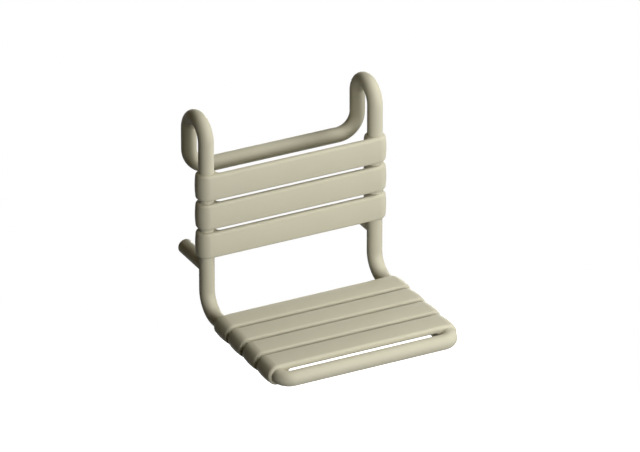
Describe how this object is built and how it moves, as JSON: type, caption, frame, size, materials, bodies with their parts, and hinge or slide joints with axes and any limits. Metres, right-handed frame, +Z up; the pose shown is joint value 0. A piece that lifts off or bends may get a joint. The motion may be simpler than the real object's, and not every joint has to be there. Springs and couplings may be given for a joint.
{
  "type": "hang-on shower seat",
  "caption": "Rigid shower seat of bent plastic-sheathed tube with slatted seat and back. Hooks hang it on a horizontal handrail, and buffered stand-offs rest on the wall.",
  "frame": {"origin": "on the axis of the handrail that the hooks hang on, midway between the hooks", "axes": "+X along the rail, to the right as seen from the front of the seat; +Y to the wall behind the rail; +Z up"},
  "size_m": [0.439, 0.4738, 0.4652],
  "materials": {
    "stone_polyamide": "satin moulded polyamide, stone grey",
    "core_steel": "drawn steel tube, bare",
    "screw_steel": "stainless, plain",
    "buffer_rubber": "matt elastomer, stone grey"
  },
  "bodies": {
    "root": {"left_side_tube": "stone_polyamide", "right_side_tube": "stone_polyamide", "front_bow_tube": "stone_polyamide", "hanger_bow_tube": "stone_polyamide", "left_side_core": "core_steel", "right_side_core": "core_steel", "front_bow_core": "core_steel", "hanger_bow_core": "core_steel", "left_upper_spigot": "core_steel", "right_upper_spigot": "core_steel", "left_seat_spigot": "core_steel", "right_seat_spigot": "core_steel", "upper_back_slat": "stone_polyamide", "middle_back_slat": "stone_polyamide", "lower_back_slat": "stone_polyamide", "rear_seat_slat": "stone_polyamide", "second_seat_slat": "stone_polyamide", "third_seat_slat": "stone_polyamide", "front_seat_slat": "stone_polyamide", "upper_back_screw_left_1": "screw_steel", "upper_back_screw_left_2": "screw_steel", "upper_back_screw_right_1": "screw_steel", "upper_back_screw_right_2": "screw_steel", "middle_back_screw_left": "screw_steel", "middle_back_screw_right": "screw_steel", "lower_back_screw_left": "screw_steel", "lower_back_screw_right": "screw_steel", "rear_seat_screw_left": "screw_steel", "rear_seat_screw_right": "screw_steel", "second_seat_screw_left": "screw_steel", "second_seat_screw_right": "screw_steel", "third_seat_screw_left_1": "screw_steel", "third_seat_screw_left_2": "screw_steel", "third_seat_screw_right_1": "screw_steel", "third_seat_screw_right_2": "screw_steel", "front_seat_screw_left": "screw_steel", "front_seat_screw_right": "screw_steel", "left_wall_support": "stone_polyamide", "right_wall_support": "stone_polyamide", "left_support_bolt": "screw_steel", "right_support_bolt": "screw_steel", "left_wall_buffer": "buffer_rubber", "right_wall_buffer": "buffer_rubber"}
  },
  "joints": []
}
